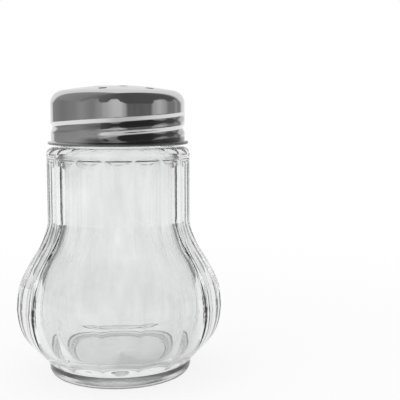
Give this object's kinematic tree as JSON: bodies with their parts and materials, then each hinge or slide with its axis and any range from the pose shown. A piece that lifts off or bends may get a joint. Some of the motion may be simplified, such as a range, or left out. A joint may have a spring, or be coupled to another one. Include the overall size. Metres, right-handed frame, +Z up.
{
  "type": "spice shaker",
  "caption": "Fluted pear-shaped glass spice shaker with a steel screw cap whose domed crown is pierced with sprinkling holes.",
  "frame": {"origin": "middle of the circle that the jar stands on, on the standing surface", "axes": "+Z up along the jar's axis, out of the mouth; -Y is the side that the picture shows"},
  "size_m": [0.0702, 0.0702, 0.0983],
  "materials": {
    "glass": "clear moulded glass, glossy",
    "seal": "matte translucent silicone",
    "steel": "polished stainless steel sheet"
  },
  "bodies": {
    "jar": {"glass_jar": "glass"},
    "seal": {"rim_seal": "seal"},
    "cap": {"steel_cap": "steel"}
  },
  "joints": [
    {"name": "cap_lift", "type": "slide", "parent": "jar", "child": "seal", "axis": [0, 0, 1], "range_m": [0, 0.01701]},
    {"name": "cap_turn", "type": "hinge", "parent": "seal", "child": "cap", "pos_m": [0, 0, 0.0861], "axis": [0, 0, 1], "range_deg": [0, 720]}
  ],
  "couplings": [
    {"joint": "cap_lift", "follows": "cap_turn", "m_per_rad": 0.0013528}
  ]
}
